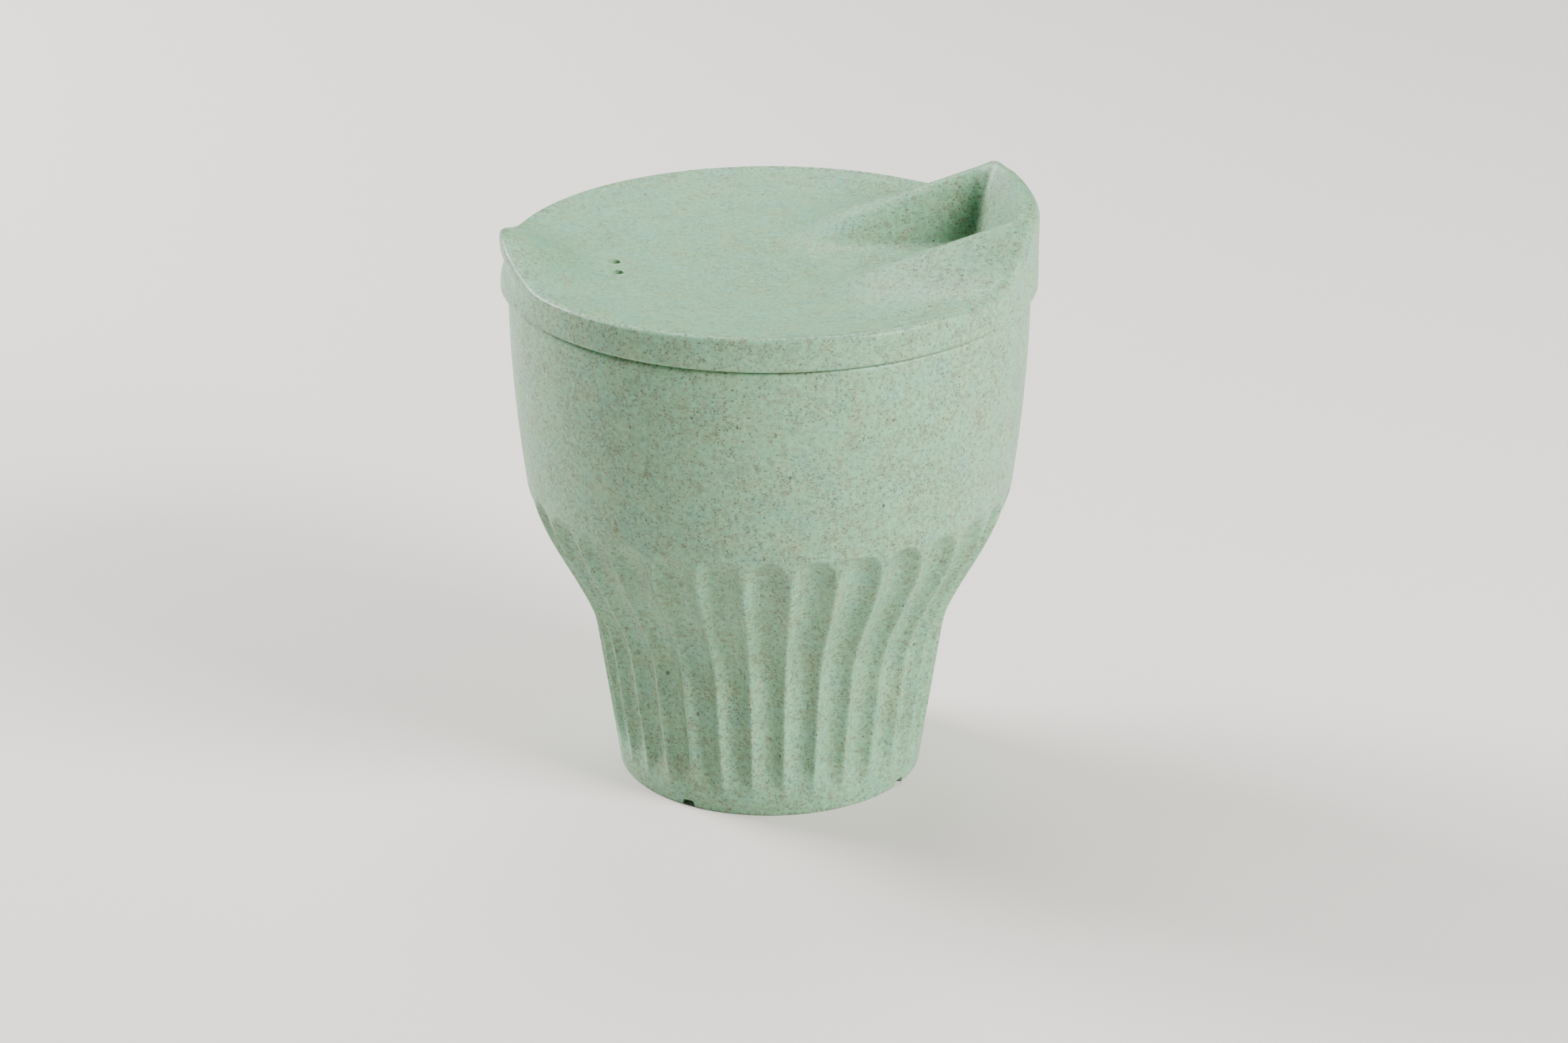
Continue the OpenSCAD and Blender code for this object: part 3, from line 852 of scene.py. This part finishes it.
        deep = g.math("MULTIPLY", g.math("MULTIPLY", sunk, fade), shape.size("Flute Depth"))
        deep = g.math("MULTIPLY", deep, outer.outputs["Attribute"])
        radial = g.vector("MULTIPLY", place, (1.0, 1.0, 0.0))
        move = g.node("GeometryNodeSetPosition")
        g.feed(move.inputs["Geometry"], shape.size("Geometry"))
        g.feed(move.inputs["Offset"], g.vector("SCALE", radial, g.math("MULTIPLY", deep, -1.0)))
        return move.outputs["Geometry"]

    def _notch_cutters(self, shape: ShapeTree) -> Socket:
        """Nodes that make the trapezoid cutters and set them round the foot.

        Args:
            shape: Tree under construction.

        Returns:
            The cutters as real geometry.
        """
        g = shape.graph
        outline = g.node("GeometryNodeCurvePrimitiveQuadrilateral", mode="TRAPEZOID")
        twice = g.math("MULTIPLY", shape.size("Notch Width"), 2.0)
        spread = g.math("SUBTRACT", twice, shape.size("Notch Top Width"))
        g.feed(outline.inputs["Height"], g.math("MULTIPLY", shape.size("Notch Height"), 2.0))
        g.feed(outline.inputs["Bottom Width"], spread)
        g.feed(outline.inputs["Top Width"], shape.size("Notch Top Width"))
        outline.inputs["Offset"].default_value = 0.0
        block = g.block(outline.outputs["Curve"], shape.size("Notch Round"), 5, shape.size("Notch Length"))
        half_back = g.join(z=g.math("MULTIPLY", shape.size("Notch Length"), -0.5))
        centred = g.moved(block, "Translation", half_back)
        upright = g.moved(centred, "Rotation", (math.pi / 2, 0.0, math.pi / 2))
        ring = g.node("GeometryNodeMeshCircle")
        g.feed(ring.inputs["Vertices"], shape.size("Notches"))
        g.feed(ring.inputs["Radius"], shape.size("Notch Radius"))
        turned = g.moved(ring.outputs["Mesh"], "Rotation", g.join(z=shape.size("Notch Turn")))
        x, y, _ = g.split(g.node("GeometryNodeInputPosition").outputs[0])
        outwards = g.join(z=g.math("ARCTAN2", y, x))
        return g.copies(turned, upright, outwards)

    def build(self, material: bpy.types.Material) -> bpy.types.Object:
        """Builds the cup's mesh.

        Args:
            material: Material of the cup.

        Returns:
            The finished object.
        """
        inside, outside, under = self._inside(), self._outside(), self._underside()
        outline = inside + outside + under
        rings = lathe_rings(outline, self._azimuths())
        piece = ring_mesh("cup_moulding", rings)
        columns = rings.shape[1]
        outer = np.zeros(len(outline))
        outer[len(inside) : len(inside) + len(outside)] = 1.0
        values = np.concatenate([np.repeat(outer, columns), [0.0, 0.0]])
        mark = piece.data.attributes.new("outer", "FLOAT", "POINT")
        mark.data.foreach_set("value", values)
        self._flute_tree().bake(piece, material)
        left = piece.data.attributes.get("outer")
        if left is not None:
            piece.data.attributes.remove(left)
        return piece


# --------------------------------------------------------------------------- lid


@dataclass
class Lid:
    """The lid: dish, skirt, sip spout, pocket, thumb tab, vents and plug, all one moulding.

    Sizes are in millimetres and angles in degrees.
    """

    cup: Cup
    seat_gap: float = 0.1
    rim_h: float = 6.2
    skirt_out: float = 0.75
    bevel: float = 0.4
    crest_round: float = 0.9
    dish_deep: float = 3.2
    thickness: float = 2.2
    spout_h: float = 12.4
    spout_half_w: float = 23.5
    spout_out: float = 0.6
    spout_round: float = 2.4
    spout_half: float = 58.0
    pocket_in: float = 7.5
    end_slope: float = 2.6
    pocket_half_w: float = 9.5
    pocket_z: float = 2.6
    ridge_blend: float = 5.5
    nose_rise: float = 1.9
    nose_half_w: float = 13.0
    nose_blend: float = 4.5
    crease: float = 0.4
    crease_fade: float = 0.9
    drink_w: float = 5.0
    drink_l: float = 12.0
    drink_in: float = 4.0
    vent_r: float = 1.15
    vent_gap: float = 5.7
    vent_at: float = 27.7
    tab_h: float = 4.4
    tab_half: float = 26.0
    tab_out: float = 0.6
    recess_deep: float = 1.3
    recess_z: float = 5.0
    recess_half_h: float = 1.8
    plug_gap: float = 0.4
    plug_t: float = 2.4
    plug_h: float = 7.8
    groove_deep: float = 1.3
    seal_h: float = 2.8
    seal_gap: float = 0.05
    lip_r: float = 0.5
    dish_power: float = 2.5
    spout_from: float = 2.0
    spout_over: float = 14.0
    spout_power: float = 0.8
    spout_edge: float = 4.0
    nose_from: float = 24.0
    nose_over: float = 16.0
    tab_from: float = 30.0
    tab_over: float = 16.0
    side_slope: float = 0.55
    side_gain: float = 1.9
    side_power: float = 1.5
    pocket_taper: float = 2.0
    pocket_full_in: float = 7.0
    pocket_from: float = 8.0
    floor_blend: float = 2.0
    upright: float = 1.25
    under_lift: float = 0.2
    under_in: float = 0.8
    crowding: float = 30.0
    columns: int = 416
    top_rows: int = 118

    @property
    def land_z(self) -> float:
        """Height of the face over the cup's rim."""
        return self.cup.height + self.seat_gap

    @property
    def plug_r(self) -> float:
        """Outer radius of the plug."""
        return self.cup.rim_r - self.cup.wall - self.plug_gap

    @property
    def seal_z(self) -> float:
        """Height of the middle of the seal ring."""
        return self.cup.height - self.plug_h / 2

    def nose(self, x: np.ndarray, y: np.ndarray) -> np.ndarray:
        """Weight of the spout's rounded nose, from 0 to 1."""
        return ease((x - self.nose_from) / self.nose_over) * np.exp(-((y / self.nose_half_w) ** 2))

    def back(self, x: np.ndarray, y: np.ndarray) -> np.ndarray:
        """Height of the lid's top before its pocket is taken out."""
        r = np.hypot(x, y)
        rim = self.cup.rim_r
        dish = self.cup.height + self.rim_h + self.dish_deep * ((r / rim) ** self.dish_power - 1.0)
        along = np.clip(x / rim, 0.0, None) ** self.spout_power
        along = along * ease((x - self.spout_from) / self.spout_over)
        spout = self.spout_h * along * np.exp(-((np.abs(y) / self.spout_half_w) ** self.spout_edge))
        behind = 180.0 - np.abs(np.degrees(np.arctan2(y, x)))
        tab = self.tab_h * window(behind, self.tab_half) * ease((r - self.tab_from) / self.tab_over)
        return dish + spout + tab + self.nose_rise * self.nose(x, y)

    def pocket(self, x: np.ndarray, y: np.ndarray, inset: float) -> np.ndarray:
        """Height of the pocket's sides, end wall and floor.

        Args:
            x: Distance towards the spout.
            y: Distance across.
            inset: How far the surface is moved out of the pocket, for the underside.

        Returns:
            The pocket's height, rising steeply outside it.
        """
        rim = self.cup.rim_r
        floor = self.cup.height + self.pocket_z
        along = np.clip(x / (rim - self.pocket_full_in), 0.0, 1.0)
        slope = self.side_slope + self.side_gain * along**self.side_power
        half = self.pocket_half_w - self.pocket_taper * (1.0 - along)
        side = floor + (np.abs(y) - half) * slope - inset * np.sqrt(1.0 + slope**2)
        end = floor + (np.hypot(x, y) - (rim - self.pocket_in)) * self.end_slope
        end = end - inset * math.sqrt(1.0 + self.end_slope**2)
        above = np.clip(np.minimum(side, end) - floor - 1.0, 0.0, None)
        wall = soft_max(side, end, self.crease + self.crease_fade * above)
        bowl = soft_max(wall, np.full_like(wall, floor - inset), self.floor_blend)
        return bowl + np.clip(self.pocket_from - x, 0.0, None)

    def blend(self, x: np.ndarray, y: np.ndarray) -> np.ndarray:
        """Blend between the pocket and the lid's back, widest at the nose."""
        return self.ridge_blend + self.nose_blend * self.nose(x, y)

    def top(self, x: np.ndarray, y: np.ndarray) -> np.ndarray:
        """Height of the lid's top."""
        return soft_min(self.back(x, y), self.pocket(x, y, 0.0), self.blend(x, y))

    def under(self, x: np.ndarray, y: np.ndarray) -> np.ndarray:
        """Height of the lid's underside inside the plug."""
        back = self.back(x, y) - self.upright * self.thickness
        low = soft_min(back, self.pocket(x, y, self.thickness), self.blend(x, y))
        return soft_max(low, np.full_like(low, self.land_z + self.under_lift), 0.3)

    def _rings(self) -> np.ndarray:
        """Rings of the lid's skin, from the middle of the top round to the middle of the underside."""
        turn = 2 * np.pi * np.arange(self.columns) / self.columns
        azimuth = turn - math.radians(self.crowding) * np.sin(turn)
        degrees = np.degrees(azimuth)
        degrees = np.where(degrees > 180.0, degrees - 360.0, degrees)
        cos, sin = np.cos(azimuth), np.sin(azimuth)
        at_spout = window(degrees, self.spout_half)
        at_tab = window(180.0 - np.abs(degrees), self.tab_half)
        skirt = self.cup.rim_r + self.skirt_out + self.spout_out * at_spout + self.tab_out * at_tab
        turn_r = self.crest_round + self.spout_round * at_spout
        crest_r = skirt - turn_r
        rings: list[np.ndarray] = []

        def add(r: np.ndarray, z: np.ndarray) -> None:
            """Adds a ring from its radii and heights."""
            wide = np.broadcast_to(r, cos.shape)
            rings.append(np.stack([wide * cos, wide * sin, np.broadcast_to(z, cos.shape)], axis=-1))

        crest_z = self.top(crest_r * cos, crest_r * sin)
        low_z = self.land_z + self.bevel
        high_z = crest_z - turn_r

        def recess(z: np.ndarray) -> np.ndarray:
            """Depth of the finger recess under the thumb tab."""
            middle = self.cup.height + self.recess_z
            return self.recess_deep * at_tab * np.exp(-(((z - middle) / self.recess_half_h) ** 2))

        edge_r = skirt - recess(high_z)
        for t in np.linspace(0.01, 1.0, self.top_rows):
            r = (edge_r - turn_r) * (1.3 * t - 0.3 * t * t)
            add(r, self.top(r * cos, r * sin))
        for a in np.radians(np.linspace(80.0, 0.0, 9)):
            add(edge_r - turn_r * (1 - math.cos(a)), crest_z - turn_r * (1 - math.sin(a)))
        for v in np.linspace(0.93, 0.0, 16):
            z = low_z + (high_z - low_z) * v
            add(skirt - recess(z), z)
        land_r = self.cup.rim_r + self.skirt_out - self.bevel
        lean = skirt - land_r
        add(land_r + 0.75 * lean, self.land_z + 0.62 * self.bevel)
        add(land_r + 0.35 * lean, self.land_z + 0.18 * self.bevel)
        add(np.array(land_r), np.array(self.land_z))
        for r, z in self._plug_outline():
            add(np.array(r), np.array(z))
        under_r = self.plug_r - self.plug_t - self.under_in
        for v in UNDER_STEPS:
            r = under_r * v
            add(np.array(r), self.under(r * cos, r * sin))
        return np.stack(rings)

    def _plug_outline(self) -> Outline:
        """Outline of the plug, from the rim's face down, round the seal's groove and up inside."""
        r, inner, low = self.plug_r, self.plug_r - self.plug_t, self.cup.height - self.plug_h
        half = self.seal_h / 2 + self.seal_gap
        groove = r - self.groove_deep
        turn = 0.5
        outline = [(r + 0.35, self.land_z), (r, self.land_z - 0.35)]
        outline += [(r, self.seal_z + half), (groove, self.seal_z + half)]
        outline += [(groove, self.seal_z - half), (r, self.seal_z - half)]
        outline += arc((r - turn, low + turn), turn, 0, -90, 4)
        outline += arc((inner + turn, low + turn), turn, -90, -180, 4)
        outline += [(inner, self.land_z - 0.3), (inner - 0.1, self.land_z - 0.05), (inner - 0.4, self.land_z)]
        outline += [(inner - self.under_in, self.land_z)]
        return outline

    def _hole_tree(self) -> ShapeTree:
        """Tree that cuts the two vents and the drinking hole."""
        vent_z = float(self.top(np.array([-self.vent_at]), np.array([self.vent_gap / 2]))[0])
        shape = ShapeTree(
            "vents_and_drinking_hole",
            sizes={
                "Vent Radius": self.vent_r * MM,
                "Vent Spacing": self.vent_gap * MM,
                "Vent X": -self.vent_at * MM,
                "Vent Top": vent_z * MM,
                "Vent Flare": 0.25 * MM,
                "Drink X": (self.cup.rim_r - self.pocket_in - self.drink_in) * MM,
                "Drink Width": self.drink_w * MM,
                "Drink Length": self.drink_l * MM,
                "Middle Height": self.land_z * MM,
            },
            counts={"Vents": 2},
        )
        g = shape.graph
        line = g.node("GeometryNodeMeshLine", mode="OFFSET")
        g.feed(line.inputs["Count"], shape.size("Vents"))
        first_y = g.math("MULTIPLY", shape.size("Vent Spacing"), -0.5)
        g.feed(line.inputs["Start Location"], g.join(shape.size("Vent X"), first_y, shape.size("Vent Top")))
        g.feed(line.inputs["Offset"], g.join(y=shape.size("Vent Spacing")))
        bore = g.node("GeometryNodeMeshCylinder")
        bore.inputs["Vertices"].default_value = 48
        g.feed(bore.inputs["Radius"], shape.size("Vent Radius"))
        bore.inputs["Depth"].default_value = 12 * MM
        flare = g.node("GeometryNodeMeshCone")
        flare.inputs["Vertices"].default_value = 48
        flare_deep = g.math("MULTIPLY", shape.size("Vent Flare"), 2.0)
        g.feed(flare.inputs["Radius Top"], g.math("ADD", flare_deep, shape.size("Vent Radius")))
        g.feed(flare.inputs["Radius Bottom"], g.math("MULTIPLY", shape.size("Vent Radius"), 0.9))
        g.feed(flare.inputs["Depth"], flare_deep)
        down = g.join(z=g.math("MULTIPLY", shape.size("Vent Flare"), -1.0))
        seat = g.moved(flare.outputs["Mesh"], "Translation", down)
        cutters = [g.copies(line.outputs["Mesh"], part) for part in (bore.outputs["Mesh"], seat)]
        cutters.append(self._drink_cutter(shape))
        cut = g.node("GeometryNodeMeshBoolean", operation="DIFFERENCE", solver="EXACT")
        g.feed(cut.inputs["Mesh 1"], shape.size("Geometry"))
        for cutter in cutters:
            g.feed(cut.inputs["Mesh 2"], cutter)
        shape.close(cut.outputs["Mesh"])
        return shape

    def _drink_cutter(self, shape: ShapeTree) -> Socket:
        """Nodes that make the round-ended cutter of the drinking hole."""
        g = shape.graph
        outline = g.node("GeometryNodeCurvePrimitiveQuadrilateral", mode="RECTANGLE")
        g.feed(outline.inputs["Width"], shape.size("Drink Width"))
        g.feed(outline.inputs["Height"], shape.size("Drink Length"))
        end_r = g.math("MULTIPLY", shape.size("Drink Width"), 0.498)
        block = g.block(outline.outputs["Curve"], end_r, 14, 10 * MM)
        low = g.math("SUBTRACT", shape.size("Middle Height"), 4 * MM)
        return g.moved(block, "Translation", g.join(x=shape.size("Drink X"), z=low))

    def build(self, material: bpy.types.Material) -> bpy.types.Object:
        """Builds the lid's mesh with its holes."""
        piece = ring_mesh("lid_moulding", self._rings()[::-1])
        return self._hole_tree().bake(piece, material)

    def build_seal(self) -> bpy.types.Object:
        """Builds the seal ring that sits in the plug's groove."""
        inner = self.plug_r - self.groove_deep + self.seal_gap
        outer = self.cup.rim_r - self.cup.wall - self.seal_gap
        back_r = outer - self.lip_r
        half = self.seal_h / 2
        z = self.seal_z
        outline = arc((back_r, z + half - self.lip_r), self.lip_r, 90, -60, 10)
        outline += [(back_r + 0.12, z + 0.1), (back_r + 0.12, z - 0.1)]
        outline += arc((back_r, z - half + self.lip_r), self.lip_r, 60, -90, 10)
        outline += arc((inner + 0.25, z - half + 0.25), 0.25, -90, -180, 4)
        outline += arc((inner + 0.25, z + half - 0.25), 0.25, 180, 90, 4)
        azimuths = np.linspace(0.0, 2 * np.pi, 256, endpoint=False)
        rings = lathe_rings(outline + outline[:1], azimuths)
        return closed_loop_mesh("seal_ring_soft", rings[:-1])


def closed_loop_mesh(name: str, rings: np.ndarray) -> bpy.types.Object:
    """Joins rings of points into a closed hoop.

    Args:
        name: Name of the object.
        rings: Array of rows, columns and coordinates in millimetres; the last row joins the first.

    Returns:
        The object.
    """
    rows, columns, _ = rings.shape
    index = np.arange(rows * columns).reshape(rows, columns)
    below = np.roll(index, -1, axis=0)
    after, below_after = np.roll(index, -1, axis=1), np.roll(below, -1, axis=1)
    quads = np.stack([index, below, below_after, after], axis=-1).reshape(-1, 4)
    mesh = bpy.data.meshes.new(name)
    mesh.from_pydata((rings.reshape(-1, 3) * MM).tolist(), [], quads.tolist())
    made = bpy.data.objects.new(name, mesh)
    bpy.context.scene.collection.objects.link(made)
    return made


# --------------------------------------------------------------------------- studio


@dataclass(frozen=True)
class SoftBox:
    """A square soft light.

    Azimuth is to the right of the camera as seen from the object, and both angles are in degrees.
    distance and side are in metres, power is in watts.
    """

    name: str
    azimuth: float
    elevation: float
    side: float
    power: float
    tint: Colour
    distance: float = 1.2


@dataclass
class Studio:
    """Floor, soft lights and camera. Lengths are in metres and angles in degrees."""

    focal_mm: float = 105.0
    sensor_mm: float = 36.0
    distance: float = 0.83846
    elevation: float = 21.751
    azimuth: float = 6.85
    look_z: float = 0.060
    aim_right: float = 0.00261
    aim_down: float = 0.01233
    lights_z: float = 0.05
    fill: float = 0.03
    boxes: tuple[SoftBox, ...] = (
        SoftBox("key_right", 57.0, 30.0, 0.5, 33.0, (1.0, 0.985, 0.965)),
        SoftBox("back_left", -120.0, 30.0, 0.5, 32.0, (1.0, 0.99, 0.985)),
        SoftBox("high_left", -100.0, 60.0, 0.6, 3.0, (1.0, 1.0, 1.0)),
        SoftBox("high_back", 180.0, 60.0, 0.6, 8.0, (1.0, 1.0, 1.0)),
        SoftBox("low_right", 90.0, 10.0, 0.4, 3.4, (1.0, 0.985, 0.965)),
    )

    def camera(self) -> None:
        """Sets the camera in front of the object, a little to the left of square to the spout."""
        data = bpy.data.cameras.new("camera")
        data.lens = self.focal_mm
        data.sensor_width = self.sensor_mm
        data.clip_start = 0.01
        made = bpy.data.objects.new("camera", data)
        bpy.context.scene.collection.objects.link(made)
        up, turn = math.radians(self.elevation), math.radians(self.azimuth)
        away = Vector((-math.sin(turn) * math.cos(up), -math.cos(turn) * math.cos(up), math.sin(up)))
        right = Vector((math.cos(turn), -math.sin(turn), 0.0))
        above = right.cross(-away)
        look = Vector((0.0, 0.0, self.look_z))
        target = look + right * self.aim_right - above * self.aim_down
        made.location = look + away * self.distance
        made.rotation_euler = (target - made.location).to_track_quat("-Z", "Y").to_euler()
        bpy.context.scene.camera = made

    def _soft_box(self, box: SoftBox) -> None:
        """Adds a soft box that faces the object."""
        data = bpy.data.lights.new(box.name, "AREA")
        data.shape = "SQUARE"
        data.size = box.side
        data.energy = box.power
        data.color = box.tint
        made = bpy.data.objects.new(box.name, data)
        turn = math.radians(box.azimuth - self.azimuth - 90.0)
        up = math.radians(box.elevation)
        away = Vector((math.cos(turn) * math.cos(up), math.sin(turn) * math.cos(up), math.sin(up)))
        made.location = away * box.distance + Vector((0.0, 0.0, self.lights_z))
        made.rotation_euler = (-away).to_track_quat("-Z", "Y").to_euler()
        bpy.context.scene.collection.objects.link(made)

    def lights(self) -> None:
        """Adds the soft boxes and the room's faint fill."""
        for box in self.boxes:
            self._soft_box(box)
        world = bpy.data.worlds.new("room")
        world.use_nodes = True
        sky = world.node_tree.nodes["Background"]
        sky.inputs["Color"].default_value = (1.0, 0.985, 0.975, 1.0)
        sky.inputs["Strength"].default_value = self.fill
        bpy.context.scene.world = world

    def floor(self, material: bpy.types.Material) -> None:
        """Adds the pale floor."""
        mesh = bpy.data.meshes.new("floor")
        reach = 6.0
        corners = [(-reach, -reach, 0.0), (reach, -reach, 0.0), (reach, reach, 0.0), (-reach, reach, 0.0)]
        mesh.from_pydata(corners, [], [(0, 1, 2, 3)])
        mesh.materials.append(material)
        made = bpy.data.objects.new("floor", mesh)
        bpy.context.scene.collection.objects.link(made)


def main() -> None:
    """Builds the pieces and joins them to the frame."""
    logging.basicConfig(level=logging.INFO, format="%(name)s %(message)s")
    studio = Studio()
    studio.camera()
    studio.lights()
    studio.floor(BACKDROP_PAPER.material())
    cup_plastic = GREEN_PLASTIC.material()
    lid_plastic = LID_PLASTIC.material()
    silicone = SEAL_SILICONE.material()
    cup = Cup()
    lid = Lid(cup)
    finish_piece(cup.build(cup_plastic), cup_plastic, Body.CUP, "cup")
    finish_piece(lid.build(lid_plastic), lid_plastic, Body.LID, "lid")
    finish_piece(lid.build_seal(), silicone, Body.SEAL, "seal_ring")


if __name__ == "__main__":
    main()
